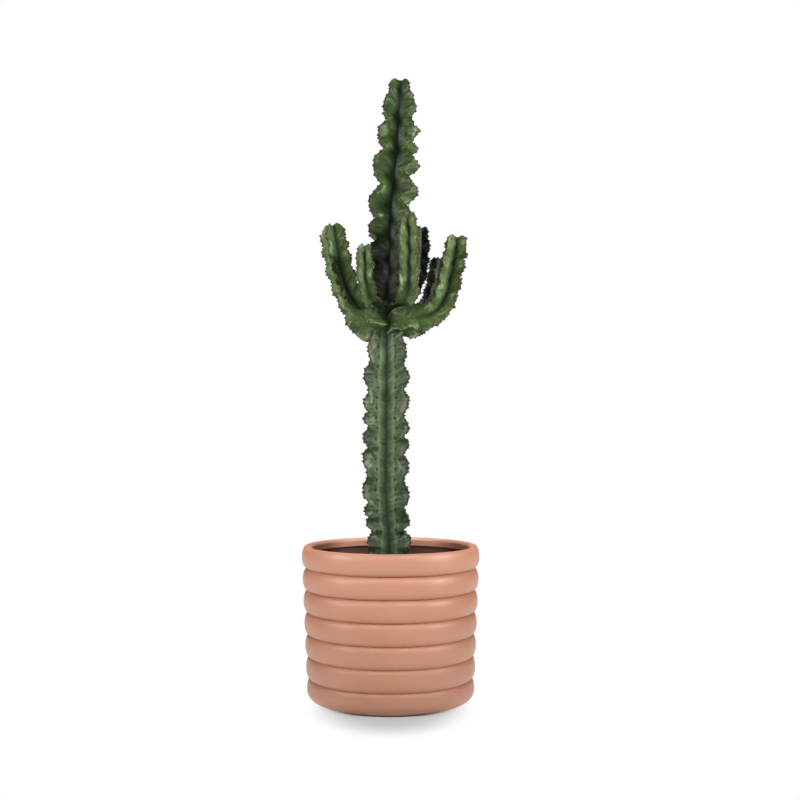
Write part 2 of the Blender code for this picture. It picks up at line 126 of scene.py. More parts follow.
def addPiece(name, points, faces, material, smooth=True, attributes=None):
    # one mesh object from arrays of points and faces
    mesh = bpy.data.meshes.new(name)
    corners = np.concatenate([np.array(group).ravel() for group in faces])
    sizes = np.concatenate([np.full(len(group), len(group[0])) for group in faces])
    starts = np.concatenate([[0], np.cumsum(sizes)[:-1]])
    mesh.vertices.add(len(points))
    mesh.vertices.foreach_set("co", np.asarray(points, dtype=np.float32).ravel())
    mesh.loops.add(len(corners))
    mesh.loops.foreach_set("vertex_index", corners.astype(np.int32))
    mesh.polygons.add(len(sizes))
    mesh.polygons.foreach_set("loop_start", starts.astype(np.int32))
    mesh.update(calc_edges=True)
    for label, values in (attributes or {}).items():
        layer = mesh.attributes.new(label, "FLOAT", "POINT")
        layer.data.foreach_set("value", np.asarray(values, dtype=np.float32).ravel())
    if smooth:
        mesh.shade_smooth()
    mesh.materials.append(material)
    piece = bpy.data.objects.new(name, mesh)
    bpy.context.scene.collection.objects.link(piece)
    return piece


def tubeFaces(rings, around):
    # quads of a closed tube and a flat face at each end. They face out when each ring runs
    # anticlockwise seen from its far end.
    ring, step = np.meshgrid(np.arange(rings - 1), np.arange(around), indexing="ij")
    after = (step + 1) % around
    quads = np.stack([ring * around + step, ring * around + after, (ring + 1) * around + after,
                      (ring + 1) * around + step], axis=-1)
    first, last = list(range(around)), list(range((rings - 1) * around, rings * around))
    return [quads.reshape(-1, 4), [first[::-1]], [last]]


# Shader building blocks

def newGroup(name, inputs, outputs):
    group = bpy.data.node_groups.new(name, "ShaderNodeTree")
    for label, kind, value in inputs:
        socket = group.interface.new_socket(name=label, in_out="INPUT", socket_type=kind)
        if value is not None:
            socket.default_value = value
    for label in outputs:
        group.interface.new_socket(name=label, in_out="OUTPUT", socket_type="NodeSocketFloat")
    return group, group.nodes.new("NodeGroupInput").outputs, group.nodes.new("NodeGroupOutput").inputs


def put(tree, kind, values=None, **settings):
    # add a node, set its options, and set or link its inputs by name or number
    node = tree.nodes.new(kind)
    for label, value in settings.items():
        setattr(node, label, value)
    for label, value in (values or {}).items():
        if isinstance(value, bpy.types.NodeSocket):
            tree.links.new(value, node.inputs[label])
        else:
            node.inputs[label].default_value = value
    return node


def maths(tree, operation, *values):
    return put(tree, "ShaderNodeMath", dict(enumerate(values)), operation=operation).outputs[0]


def times(tree, first, *others):
    for other in others:
        first = maths(tree, "MULTIPLY", first, other)
    return first


def flipped(tree, value):
    return maths(tree, "SUBTRACT", 1.0, value)


def vectorMaths(tree, operation, result, *values):
    node = put(tree, "ShaderNodeVectorMath", dict(enumerate(values)), operation=operation)
    return node.outputs[result]


def mixColour(tree, share, first, second):
    return put(tree, "ShaderNodeMix", {0: share, 6: first, 7: second}, data_type="RGBA").outputs[2]


def layered(tree, tone, layers):
    # each layer lays its colour over the tones before it, by its share
    for share, colour in layers:
        tone = mixColour(tree, share, tone, colour)
    return tone


def ramp(tree, value, low, high):
    # 0 below low, 1 above high, eased between
    node = put(tree, "ShaderNodeMapRange", {"Value": value, "From Min": low, "From Max": high},
               interpolation_type="SMOOTHSTEP")
    return node.outputs[0]


def clouds(tree, place, scale, detail, distortion=0.0):
    values = {"Vector": place, "Scale": scale, "Detail": detail, "Distortion": distortion}
    return put(tree, "ShaderNodeTexNoise", values).outputs["Fac"]


def field(tree, label):
    return put(tree, "ShaderNodeAttribute", attribute_name=label).outputs["Fac"]


def newMaterial(name):
    material = bpy.data.materials.new(name)
    material.use_nodes = True
    tree = material.node_tree
    shader = tree.nodes["Principled BSDF"]
    place = put(tree, "ShaderNodeTexCoord").outputs["Object"]
    return material, tree, shader, place


def dress(tree, shader, tone, mask, height, coat):
    # colour, roughness that follows a mask, bump from a height, and gloss
    low, high = coat["rough"]
    strength, distance = coat["bump"]
    rough = put(tree, "ShaderNodeMapRange", {"Value": mask, "To Min": low, "To Max": high})
    bump = put(tree, "ShaderNodeBump", {"Height": height, "Strength": strength, "Distance": distance})
    tree.links.new(tone, shader.inputs["Base Color"])
    tree.links.new(rough.outputs[0], shader.inputs["Roughness"])
    tree.links.new(bump.outputs[0], shader.inputs["Normal"])
    shader.inputs["Specular IOR Level"].default_value = coat["specular"]


def mottleGroup():
    # soft patches in two sizes, as a mask round 0.5 and as a height
    group, source, result = newGroup(
        "mottle",
        [("Place", "NodeSocketVector", None), ("Coarse scale", "NodeSocketFloat", 30.0),
         ("Fine scale", "NodeSocketFloat", 200.0), ("Fine share", "NodeSocketFloat", 0.4)],
        ["Mask", "Height"])
    coarse = clouds(group, source["Place"], source["Coarse scale"], 3.0)
    fine = clouds(group, source["Place"], source["Fine scale"], 4.0)
    both = put(group, "ShaderNodeMix", {0: source["Fine share"], 2: coarse, 3: fine}).outputs[0]
    group.links.new(both, result["Mask"])
    group.links.new(fine, result["Height"])
    return group


def speckleGroup():
    # small round spots scattered over a surface
    group, source, result = newGroup(
        "speckle",
        [("Place", "NodeSocketVector", None), ("Scale", "NodeSocketFloat", 300.0),
         ("Size", "NodeSocketFloat", 0.2), ("Amount", "NodeSocketFloat", 0.3)],
        ["Mask"])
    cells = put(group, "ShaderNodeTexVoronoi", {"Vector": source["Place"], "Scale": source["Scale"]}).outputs
    near = maths(group, "LESS_THAN", cells["Distance"], source["Size"])
    split = put(group, "ShaderNodeSeparateColor", {0: cells["Color"]}).outputs[0]
    chosen = maths(group, "LESS_THAN", split, source["Amount"])
    group.links.new(times(group, near, chosen), result["Mask"])
    return group


mottle = mottleGroup()
speckle = speckleGroup()


def useGroup(tree, group, place, values):
    return put(tree, "ShaderNodeGroup", {"Place": place, **values}, node_tree=group).outputs


# Camera, lights and floor

view = {
    "place": (0.0157, -2.02, 0.46), "lensPixels": 1196.0, "imagePixels": 800.0, "sensor": 36.0,
    "lookUpPixels": 24.3, "nearest": 0.05,
}


def addCamera():
    lens = bpy.data.cameras.new("camera")
    lens.sensor_width = view["sensor"]
    lens.lens = view["lensPixels"] / view["imagePixels"] * view["sensor"]
    lens.clip_start = view["nearest"]
    camera = bpy.data.objects.new("camera", lens)
    camera.location = view["place"]
    camera.rotation_euler = (math.pi / 2 + math.atan2(view["lookUpPixels"], view["lensPixels"]), 0, 0)
    bpy.context.scene.collection.objects.link(camera)
    bpy.context.scene.camera = camera


studio = {
    # name: (place, aim, size, watts, spread in degrees)
    "lights": {
        "side_right": ((1.46, -0.62, 1.15), (0.0, 0.0, 0.80), (0.6, 0.9), 4.4, 48),
        "side_left": ((-1.46, -0.66, 1.15), (0.0, 0.0, 0.80), (0.6, 0.9), 3.5, 48),
        "front_right": ((0.62, -1.34, 1.36), (0.02, 0.0, 0.12), (0.40, 0.40), 0.36, 32),
        "front_left": ((-0.62, -1.34, 1.36), (-0.02, 0.0, 0.12), (0.40, 0.40), 0.34, 32),
        "top_back": ((0.0, 0.62, 2.10), (0.0, -0.10, 0.0), (0.5, 0.5), 20.5, 150),
    },
    "ambient": 0.13, "background": 1.0, "white": (1.0, 1.0, 1.0, 1.0),
    "floorRadius": 9.0, "floorSides": 96, "floorHeight": -0.0004, "floorColour": (0.740, 0.820, 0.850, 1.0),
    # the part of the floor that takes shadows: an oval, moved to the front
    "shadeRadius": (0.095, 0.215), "shadeStretch": (1.5, 1.0, 1.0), "shadeShift": (0.0, 0.06, 0.0),
}


def addLights():
    for name, (place, aim, size, power, spread) in studio["lights"].items():
        light = bpy.data.lights.new(name, "AREA")
        light.shape = "RECTANGLE"
        light.size, light.size_y = size
        light.energy = power
        light.spread = math.radians(spread)
        item = bpy.data.objects.new(name, light)
        item.location = place
        item.rotation_euler = (Vector(aim) - Vector(place)).to_track_quat("-Z", "Y").to_euler()
        bpy.context.scene.collection.objects.link(item)
    world = bpy.data.worlds.new("studio")
    bpy.context.scene.world = world
    world.use_nodes = True
    tree = world.node_tree
    seen = put(tree, "ShaderNodeLightPath").outputs["Is Camera Ray"]
    strength = put(tree, "ShaderNodeMix", {0: seen, 2: studio["ambient"], 3: studio["background"]})
    tree.links.new(strength.outputs[0], tree.nodes["Background"].inputs["Strength"])
    tree.nodes["Background"].inputs["Color"].default_value = studio["white"]
    bpy.context.scene.view_settings.view_transform = "Standard"


def addFloor():
    # a pale disc: it takes shadows near the pot and fades into the white backdrop further out
    x, y = circle(studio["floorSides"])
    rim = np.stack([x, y, x * 0], axis=1) * studio["floorRadius"]
    material, tree, shader, place = newMaterial("floor")
    tree.nodes.remove(shader)
    matte = put(tree, "ShaderNodeBsdfDiffuse", {"Color": studio["floorColour"]}).outputs[0]
    glow = put(tree, "ShaderNodeEmission", {"Strength": studio["background"]}).outputs[0]
    oval = vectorMaths(tree, "MULTIPLY_ADD", 0, place, studio["shadeStretch"], studio["shadeShift"])
    share = ramp(tree, vectorMaths(tree, "LENGTH", "Value", oval), *studio["shadeRadius"])
    both = put(tree, "ShaderNodeMixShader", {0: share, 1: matte, 2: glow}).outputs[0]
    tree.links.new(both, tree.nodes["Material Output"].inputs["Surface"])
    floor = addPiece("floor", rim, [[list(range(len(rim)))]], material, smooth=False)
    floor.location.z = studio["floorHeight"]


addCamera()
addLights()
addFloor()
print("camera, lights and floor set")


# Pot

pot = {
    "height": 0.2565, "radiusTop": 0.150, "radiusBase": 0.1394, "rings": 7, "segments": 176, "ringSteps": 16,
    "grooveTop": 0.0100, "grooveBase": 0.0062, "grooveFill": 0.0004, "fullness": 0.95, "ringSquash": 0.985,
    "foot": 0.124, "crown": 0.143, "innerBase": 0.1298, "innerTop": 0.1362, "floor": 0.012, "centre": 0.001,
    # (radius, height) from the middle of the underside to the foot ring
    "underside": ((0.001, 0.0035), (0.080, 0.0035), (0.105, 0.0035), (0.108, 0.0004), (0.1095, 0.0),
                  (0.122, 0.0)),
    "rimInner": 0.133, "rollSteps": 8, "rollDrop": 0.005, "rollInside": 0.1, "ledgeDepth": 0.0145,
    # (past the rim's inner radius, above the ledge, how far inside) from the rim down to the ledge
    "ledge": ((-0.0001, 0.0065, 0.35), (0.0, 0.0035, 0.45), (-0.0004, 0.0018, 0.2), (0.0001, 0.0005, 0.2),
              (0.0016, 0.0, 0.8)),
    "ledgeRound": 0.0006, "wallDrop": 0.004, "wallSteps": 4, "wallFoot": 0.006, "floorRound": 0.005,
    # the darker clay tone marks grain, and is also laid in the grooves as painted shade
    "clay": (0.485, 0.208, 0.116, 1.0), "clayShadeAndGrain": (0.400, 0.130, 0.066, 1.0),
    # the inside tone is painted shade over the pot's inner wall
    "clayDusty": (0.520, 0.234, 0.140, 1.0), "inside": (0.085, 0.022, 0.010, 1.0),
    "clouds": {"Coarse scale": 9.0, "Fine scale": 620.0, "Fine share": 0.30},
    "grains": {"Scale": 520.0, "Size": 0.22, "Amount": 0.16},
    "dustFrom": (0.30, 0.72), "insideFrom": (0.50, 1.0), "groovePower": 1.6, "grooveShade": 0.30,
    "grainTint": 0.10, "grainHeight": -0.8,
    "coat": {"rough": (0.38, 0.52), "bump": (0.22, 0.0006), "specular": 0.85},
}


def outerRadius(share):
    return pot["radiusBase"] + (pot["radiusTop"] - pot["radiusBase"]) * share


def grooveAt(index):
    share = index / pot["rings"]
    return outerRadius(share) - (pot["grooveBase"] + (pot["grooveTop"] - pot["grooveBase"]) * share)


def innerRadius(height):
    # the inner side is a plain slope, whatever the grooves outside
    return pot["innerBase"] + (pot["innerTop"] - pot["innerBase"]) * height / pot["height"]


def ringRows(index):
    # one bulged ring of the outside, from its lower to its upper groove
    crest = outerRadius((index + 0.5) / pot["rings"])
    isFirst, isLast = index == 0, index == pot["rings"] - 1
    rows = []
    for step in range(pot["ringSteps"] + 1 if isLast else pot["ringSteps"]):
        angle = math.pi * (step / pot["ringSteps"] - 0.5)
        up, out = math.sin(angle), max(0.0, math.cos(angle))
        if isFirst and up < 0:
            radius, deep = pot["foot"] + (crest - pot["foot"]) * out, 0.0
        elif isLast and up > 0:
            radius, deep = pot["crown"] + (crest - pot["crown"]) * out, 0.0
        else:
            groove = grooveAt(index if up < 0 else index + 1) + pot["grooveFill"]
            radius, deep = groove + (crest - groove) * out ** pot["fullness"], (1.0 - out) ** 2
        if 0 < step < pot["ringSteps"]:
            up = up * pot["ringSquash"]
        rows.append((radius, pot["height"] / pot["rings"] / 2 * (2 * index + 1 + up), deep, 0))
    return rows


def potSection():
    # radius, height, how deep in a groove and how far inside (masks for painted shade), from the underside
    # round to the floor
    rows = [(radius, height, 0, 0) for radius, height in pot["underside"]]
    for index in range(pot["rings"]):
        rows += ringRows(index)
    inner, ledge = pot["rimInner"], pot["height"] - pot["ledgeDepth"]
    for step in range(1, pot["rollSteps"] + 1):
        angle = math.pi / 2 * step / pot["rollSteps"]
        radius = pot["crown"] - (pot["crown"] - inner) * math.sin(angle)
        rows.append((radius, pot["height"] - pot["rollDrop"] * (1 - math.cos(angle)), 0, pot["rollInside"]))
    rows += [(inner + past, ledge + above, 0, inside) for past, above, inside in pot["ledge"]]
    rows.append((innerRadius(ledge) - pot["ledgeRound"], ledge - pot["ledgeRound"], 0, 1))
    top, foot = ledge - pot["wallDrop"], pot["floor"] + pot["wallFoot"]
    for step in range(pot["wallSteps"] + 1):
        share = step / pot["wallSteps"]
        height = top * (1 - share) + foot * share
        rows.append((innerRadius(height), height, 0, 1))
    rows.append((innerRadius(pot["floor"]) - pot["floorRound"], pot["floor"], 0, 1))
    rows.append((pot["centre"], pot["floor"], 0, 1))
    return np.array(rows)


def clayMaterial():
    material, tree, shader, place = newMaterial("matte_clay")
    soft = useGroup(tree, mottle, place, pot["clouds"])
    grain = useGroup(tree, speckle, place, pot["grains"])["Mask"]
    deep = maths(tree, "POWER", field(tree, "groove"), pot["groovePower"])
    tone = layered(tree, pot["clay"], (
        (ramp(tree, soft["Mask"], *pot["dustFrom"]), pot["clayDusty"]),
        # painted shade deep in the grooves between the rings
        (times(tree, deep, pot["grooveShade"]), pot["clayShadeAndGrain"]),
        (times(tree, grain, pot["grainTint"]), pot["clayShadeAndGrain"]),
        # painted shade: the inside of the pot takes a near-black clay tone
        (ramp(tree, field(tree, "inside"), *pot["insideFrom"]), pot["inside"]),
    ))
    height = maths(tree, "ADD", soft["Height"], times(tree, grain, pot["grainHeight"]))
    dress(tree, shader, tone, soft["Mask"], height, pot["coat"])
    return material


def buildPot():
    rows, around = potSection(), pot["segments"]
    x, y = circle(around)
    points = np.stack([rows[:, 0, None] * x, rows[:, 0, None] * y, rows[:, 1, None] + x * 0], axis=-1)
    marks = {label: np.repeat(rows[:, column], around) for column, label in ((2, "groove"), (3, "inside"))}
    faces = tubeFaces(len(rows), around)
    piece = addPiece("pot_clay", points.reshape(-1, 3), faces, clayMaterial(), attributes=marks)
    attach(piece, "root")
    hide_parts("pot")


buildPot()
print("pot turned")


# Soil and the crumbs on it

soil = {
    "top": 0.2115, "floor": 0.016, "rings": 46, "around": 150, "wallGap": 0.0006, "floorGap": 0.001,
    "centre": 0.001, "edgeDrop": 0.0015,
    # broad waves, fine waves and lumps: (scale, level) and share of the bump height
    "bump": 0.0035, "bumpScales": ((22, 3.0), (150, 9.0), (70, 5.0)), "bumpShares": (0.55, 0.42, 0.5),
    "crumbs": 620, "crumbSize": (0.0012, 0.0042), "crumbReach": 0.127, "crumbSpread": (0.02, 1.0),
    "crumbSink": 0.12, "crumbRough": (0.8, 1.15), "crumbGap": 0.001, "barkShare": 0.22, "seed": 51,
    "barkCrumb": {"grow": 1.35, "stretch": ((1.2, 2.0), (0.6, 1.0), (0.30, 0.55))},
    "plainCrumb": {"grow": 0.8, "stretch": ((0.7, 1.1), (0.7, 1.1), (0.6, 0.9))},
    "cubeCorner": 0.8, "cubeSide": 1.15,
    "dark": (0.020, 0.013, 0.009, 1.0), "light": (0.075, 0.048, 0.030, 1.0),
    "bark": (0.120, 0.070, 0.038, 1.0), "grit": (0.46, 0.43, 0.38, 1.0),
    "clouds": {"Coarse scale": 60.0, "Fine scale": 900.0, "Fine share": 0.6},
    "gritSpots": {"Scale": 330.0, "Size": 0.26, "Amount": 0.045},
    "lightFrom": (0.34, 0.70), "barkTint": 0.9,
    "coat": {"rough": (0.82, 1.0), "bump": (0.7, 0.0012), "specular": 0.5},
}


def soilHeight(x, y):
    broad, fine, lumps = (noise.noise(Vector((x * scale, y * scale, level)))
                          for scale, level in soil["bumpScales"])
    shares = soil["bumpShares"]
    return soil["top"] + soil["bump"] * (shares[0] * broad + shares[1] * fine + shares[2] * abs(lumps))


def soilMaterial():
    material, tree, shader, place = newMaterial("peat")
    soft = useGroup(tree, mottle, place, soil["clouds"])
    tone = layered(tree, soil["dark"], (
        (ramp(tree, soft["Mask"], *soil["lightFrom"]), soil["light"]),
        (times(tree, field(tree, "bark"), soil["barkTint"]), soil["bark"]),
        (useGroup(tree, speckle, place, soil["gritSpots"])["Mask"], soil["grit"]),
    ))
    dress(tree, shader, tone, soft["Mask"], soft["Height"], soil["coat"])
    return material


def crumbShape():
    # points and faces of a cube whose sides bulge, which gives a rough ball
    corners = [(x, y, z) for x in (-1, 1) for y in (-1, 1) for z in (-1, 1)]
    middles = [(1, 0, 0), (-1, 0, 0), (0, 1, 0), (0, -1, 0), (0, 0, 1), (0, 0, -1)]
    points = [Vector(corner) * soil["cubeCorner"] for corner in corners]
    points += [Vector(middle) * soil["cubeSide"] for middle in middles]
    sides = ((4, 6, 7, 5), (0, 1, 3, 2), (2, 3, 7, 6), (0, 4, 5, 1), (1, 5, 7, 3), (0, 2, 6, 4))
    faces = [(len(corners) + index, ring[step], ring[(step + 1) % 4])
             for index, ring in enumerate(sides) for step in range(4)]
    return points, faces


def soilBed(material, radius):
    # the two rings on the pot's floor, then the rings of the top from the wall in to the middle
    rings, around = soil["rings"], soil["around"]
    reaches = [soil["centre"], innerRadius(soil["floor"]) - soil["floorGap"]]
    reaches += [radius * (1 - ring / rings) + soil["centre"] for ring in range(rings)]
    points = []
    for index, reach in enumerate(reaches):
        for x, y in zip(*circle(around)):
            x, y = reach * x, reach * y
            height = soil["floor"] if index < 2 else soilHeight(x, y)
            points.append((x, y, height - (soil["edgeDrop"] if index == 2 else 0.0)))
    faces = tubeFaces(len(reaches), around)
    return addPiece("soil_bed", points, faces, material, attributes={"bark": np.zeros(len(points))})


def buildSoil():
    material = soilMaterial()
    radius = innerRadius(soil["top"]) - soil["wallGap"]
    bed = soilBed(material, radius)
    limit = radius - soil["crumbGap"]
    rng = random.Random(soil["seed"])
    shape, shapeFaces = crumbShape()
    points, faces, barks = [], [], []
    for _ in range(soil["crumbs"]):
        angle = rng.uniform(0, fullTurn)
        reach = soil["crumbReach"] * math.sqrt(rng.uniform(*soil["crumbSpread"]))
        x, y = reach * math.cos(angle), reach * math.sin(angle)
        isBark = rng.random() < soil["barkShare"]
        kind = soil["barkCrumb"] if isBark else soil["plainCrumb"]
        size = rng.uniform(*soil["crumbSize"]) * kind["grow"]
        stretch = Vector([rng.uniform(*span) for span in kind["stretch"]])
        turn, start = rng.uniform(0, fullTurn), len(points)
        middle = Vector((x, y, soilHeight(x, y) + size * soil["crumbSink"]))
        for point in shape:
            place = Vector([point[axis] * stretch[axis] * size * rng.uniform(*soil["crumbRough"])
                            for axis in range(3)])
            place = Vector((place.x * math.cos(turn) - place.y * math.sin(turn),
                            place.x * math.sin(turn) + place.y * math.cos(turn), place.z)) + middle
            reachNow = math.hypot(place.x, place.y)
            if reachNow > limit:
                place.x, place.y = (value * limit / reachNow for value in (place.x, place.y))
            points.append(place)
            barks.append(1.0 if isBark else 0.0)
        faces += [[start + corner for corner in face] for face in shapeFaces]
    points = np.array([tuple(point) for point in points])
    crumbs = addPiece("soil_crumbs", points, [faces], material, smooth=False, attributes={"bark": barks})
    for piece in (bed, crumbs):
        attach(piece, "root")
    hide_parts("soil")


buildSoil()
print("soil filled")


# Stem section: four waved wings round a core, with teeth along their margins

section = {
    "wings": 4, "edgeHalf": 0.0013, "swayPower": 1.74, "halfPower": 1.53, "reachWave": 0.28,
    "swayLimit": 0.20,
    "toothHeight": 0.0015, "toothHalf": 0.0015, "toothJitter": 0.32, "toothBeat": 410.0,
    "toothShares": (0.75, 0.45), "toothLast": 0.003, "toothFrom": 0.35, "toothLean": 1.2, "leastReach": 0.01,
    "toothMark": (0.86, 0.12), "bay": 0.0005,
    # a ridge and a row of pits beside each valley, at shares of the way from valley to margin
    "ridgeAt": 0.40, "ridgeHeight": 0.0016, "ridgeWidths": (0.16, 0.035),
    "pitAt": 0.46, "pitWidth": 0.050, "pitLength": 0.0030, "pitGap": 0.0172, "pitDepth": 0.0013,
    # creases and puffed flanks where a wing sways, each over a rising and a falling stretch
    "creaseDepth": 0.0013, "creaseWidth": 0.045, "creaseSpan": ((0.30, 0.3), (0.85, 0.12)),
    "creaseWaving": 0.004, "puff": 0.22, "puffSpan": ((0.25, 0.3), (0.72, 0.26)),
    "pucker": 0.0009, "puckerTeeth": 2.1, "puckerTurn": 1.7, "puckerPower": 4,
    # crinkles over the flanks: (waves per metre along, waves from valley to margin, depth)
    "crinkles": ((37.0, -0.7, 0.00040), (71.0, -1.5, 0.00026), (123.0, -2.1, 0.00020),
                 (211.0, -3.2, 0.00015)),
    "crinkleSkew": 0.3, "crinkleDrift": 0.6, "crinkleBeat": 1.3, "crinkleFrom": 0.35,
    "crinkleShares": (0.55, 0.45),
    "flankFacing": 0.8, "shadeMargin": 0.35, "shadeFrom": 0.35, "wingShift": 2.0,
    # the tip: how the section narrows, and the rings that close it
    "tipLength": 0.030, "tipRise": 0.006, "tipShares": (0.52, 0.48), "coreShares": (0.45, 0.55),
    "marginAngles": (-62.0, -22.0, 22.0, 62.0), "capRings": 7, "capHeight": 0.0035,
    "capShares": (0.10, 0.90), "capRise": (0.25, 0.75), "capDip": 0.75, "capTooth": 0.2,
}


def part(shares, value):
    # a fixed share and a share that follows the value
    return shares[0] + shares[1] * value


def toothPlaces(length, gap, rng):
    places = [rng.uniform(0.0, gap)]
    while places[-1] < length - section["toothLast"]:
        places.append(places[-1] + gap * (1 + rng.uniform(-1, 1) * section["toothJitter"]))
    return np.array(places[:-1])


def nearest(places, at):
    return np.min(np.abs(at[:, None] - places[None, :]), axis=1)


def stacked(wings):
    # values by ring, given for each wing, as arrays by ring and wing
    return {label: np.stack([wing[label] for wing in wings], axis=1) for label in wings[0]}


def tipShape(left):
    share = np.clip(left / section["tipLength"], 0.0, 1.0)
    return part(section["tipShares"], np.sqrt(1 - (1 - share) ** 2)), section["tipRise"] * (1 - share) ** 2


def wingOutline(flank):
    # from valley to margin and back: share of the way out, side, and the round cap on the margin
    cap = np.radians(section["marginAngles"])
    there, back = np.array(flank), np.array(flank)[:0:-1]
    ends = (len(there), len(back))
    share = np.concatenate([there, np.ones(len(cap)), back])
    side = np.concatenate([-np.ones(len(there)), np.zeros(len(cap)), np.ones(len(back))])
    return share, side, np.pad(np.cos(cap), ends), np.pad(np.sin(cap), ends)


def tipRings(last, top, tangent, flank):
    # the last ring shrinks in and its wings round over
    rings = []
    for step in range(1, section["capRings"] + 1):
        share = step / section["capRings"]
        angle = math.pi / 2 * share
        rise = section["capHeight"] * math.sin(angle) * part(section["capRise"], flank)
        rise = rise * (1 - section["capDip"] * share ** 3)
        narrowed = (last - top) * part(section["capShares"], math.cos(angle))
        rings.append(top + narrowed + tangent * rise[:, None])
    return np.concatenate(rings)


def stemPiece(name, stem, material, rng):
    # stem holds values by ring, or by ring and wing. Gives the piece and where its teeth stand.
    wings = section["wings"]
    places, along = stem["places"], stem["along"]
    tangents, sides, thirds = stem["frames"]
    share, side, capCos, capSin = wingOutline(stem["flank"])
    rings, perWing, far = len(places), len(share), along[:, None]
    core, thin, shoulder, toothShare, rise, age, valley = (
        stem[label][:, None]
        for label in ("core", "thin", "shoulder", "toothShare", "rise", "age", "valley"))
    ridgeWidth = np.where(share < section["ridgeAt"], *section["ridgeWidths"])
    ridge = bell(share - section["ridgeAt"], ridgeWidth) * shoulder
    pit = bell(nearest(stem["pits"], along), section["pitLength"])[:, None] * shoulder
    pit = pit * bell(share - section["pitAt"], section["pitWidth"])
    crinkled = eased(share / section["crinkleFrom"]) * part(section["crinkleShares"], side ** 2)
    roundAngle = np.radians(-45 + 90 * np.arange(perWing) / perWing)
    points, marks, teeth = np.zeros((rings, wings, perWing, 3)), {}, []
    for wing in range(wings):
        reach, sway, waving, phase, grown, roundness, paintedShade = (
            stem[label][:, wing, None]
            for label in ("reach", "sway", "waving", "phase", "grown", "roundness", "paintedShade"))
        angle = fullTurn * wing / wings
        outward = sides * math.cos(angle) + thirds * math.sin(angle)
        across = thirds * math.cos(angle) - sides * math.sin(angle)

        # how far the wing reaches and how thick it is
        tooth = bell(nearest(stem["teeth"][wing], along), section["toothHalf"])[:, None]
        tooth = tooth * part(section["toothShares"], np.sin(far * section["toothBeat"] + wing))
        reach = reach + (section["toothHeight"] * tooth - section["bay"]) * grown * toothShare
        start, edge = core * math.cos(math.pi / 4), section["edgeHalf"] * thin
        half = edge + (start - edge) * (1 - share) ** section["halfPower"]
        half = half + ridge * section["ridgeHeight"] - pit * section["pitDepth"]
        turned = phase - np.where(side * stem["outward"][wing] < 0, 0.0, 0.5)
        crease = bell(np.abs((turned + 0.5) % 1.0 - 0.5), section["creaseWidth"])
        crease = crease * window(share, *section["creaseSpan"])
        crease = crease * np.minimum(1, waving / section["creaseWaving"])
        puff = (0.5 - 0.5 * np.cos(fullTurn * turned)) * window(share, *section["puffSpan"])
        half = half - crease * section["creaseDepth"] + section["puff"] * waving * puff

        # where its points stand, out from the core and aside from the wing's own plane
        pucker = fullTurn * far / (section["puckerTeeth"] * stem["toothGap"]) + wing * section["puckerTurn"]
        pucker = section["pucker"] * np.sin(pucker) * grown * toothShare
        aside = np.where(capCos > 0, edge * capSin, side * half) + sway * share ** section["swayPower"]
        aside = aside + pucker * share ** section["puckerPower"]
        for perMetre, outwards, depth in section["crinkles"]:
            turns = far * perMetre + share * outwards * (1 + section["crinkleSkew"] * side)
            drift = section["crinkleDrift"] * np.sin(far * perMetre * section["crinkleBeat"])
            shift = fullTurn * rng.uniform(0, 1) + rng.uniform(0, 1)
            aside = aside + depth * crinkled * np.sin(fullTurn * turns + drift + shift) * grown
        out = start + (reach - edge - start) * share + edge * capCos
        out = out + (stem["roundRadius"] * np.cos(roundAngle) - out) * roundness
        aside = aside + (stem["roundRadius"] * np.sin(roundAngle) - aside) * roundness
        lift = rise * np.minimum(1.0, np.hypot(out, aside) / np.maximum(reach, 1e-6))
        points[:, wing] = (places[:, None] + outward[:, None] * out[..., None]
                           + across[:, None] * aside[..., None] + tangents[:, None] * lift[..., None])

        # painted shade: sides turned to the plant's axis, and whatever stands deep in the fork, take a
        # darker shading tone
        facing = across[:, None] * side[:, None] * section["flankFacing"] + outward[:, None] * share[:, None]
        towards = -points[:, wing, :, :2]
        towards = towards / np.maximum(np.linalg.norm(towards, axis=-1), 1e-6)[..., None]
        inwardShade = eased(np.sum(facing[..., :2] * towards, axis=-1) + section["shadeFrom"])
        shade = paintedShade * (1 - section["shadeMargin"] * share) + stem["inwardShade"] * inwardShade
        values = {
            "flank": share * (1 - roundness), "age": age, "valley": valley, "margin": toothShare,
            "pit": pit, "ridge": ridge, "along": far + wing * section["wingShift"],
            "tooth": tooth * grown * toothShare * fade(share, *section["toothMark"]),
            "shade": np.clip(shade, 0, 1) * (1 - roundness),
        }
        for label, value in values.items():
            marks.setdefault(label, np.zeros((rings, wings, perWing)))[:, wing] = value
        for place in stem["teeth"][wing]:
            ring = int(np.argmin(np.abs(along - place)))
            if grown[ring, 0] * toothShare[ring, 0] > section["toothFrom"]:
                crown = points[ring, wing, len(stem["flank"]) + 1:len(stem["flank"]) + 3].mean(axis=0)
                lean = sway[ring] * section["toothLean"] / np.maximum(reach[ring], section["leastReach"])
                heading = outward[ring] + across[ring] * lean
                teeth.append((crown, heading / np.linalg.norm(heading), across[ring], tangents[ring]))

    around = wings * perWing
    tip = tipRings(points[-1].reshape(-1, 3), places[-1], tangents[-1], marks["flank"][-1].reshape(-1))
    for label, values in marks.items():
        last = values[-1].reshape(-1) * (section["capTooth"] if label == "tooth" else 1.0)
        marks[label] = np.concatenate([values.reshape(-1), np.tile(last, section["capRings"])])
    faces = tubeFaces(rings + section["capRings"], around)
    points = np.concatenate([points.reshape(-1, 3), tip])
    return addPiece(name, points, faces, material, attributes=marks), teeth


# Skin of the stems and the horn of their spines

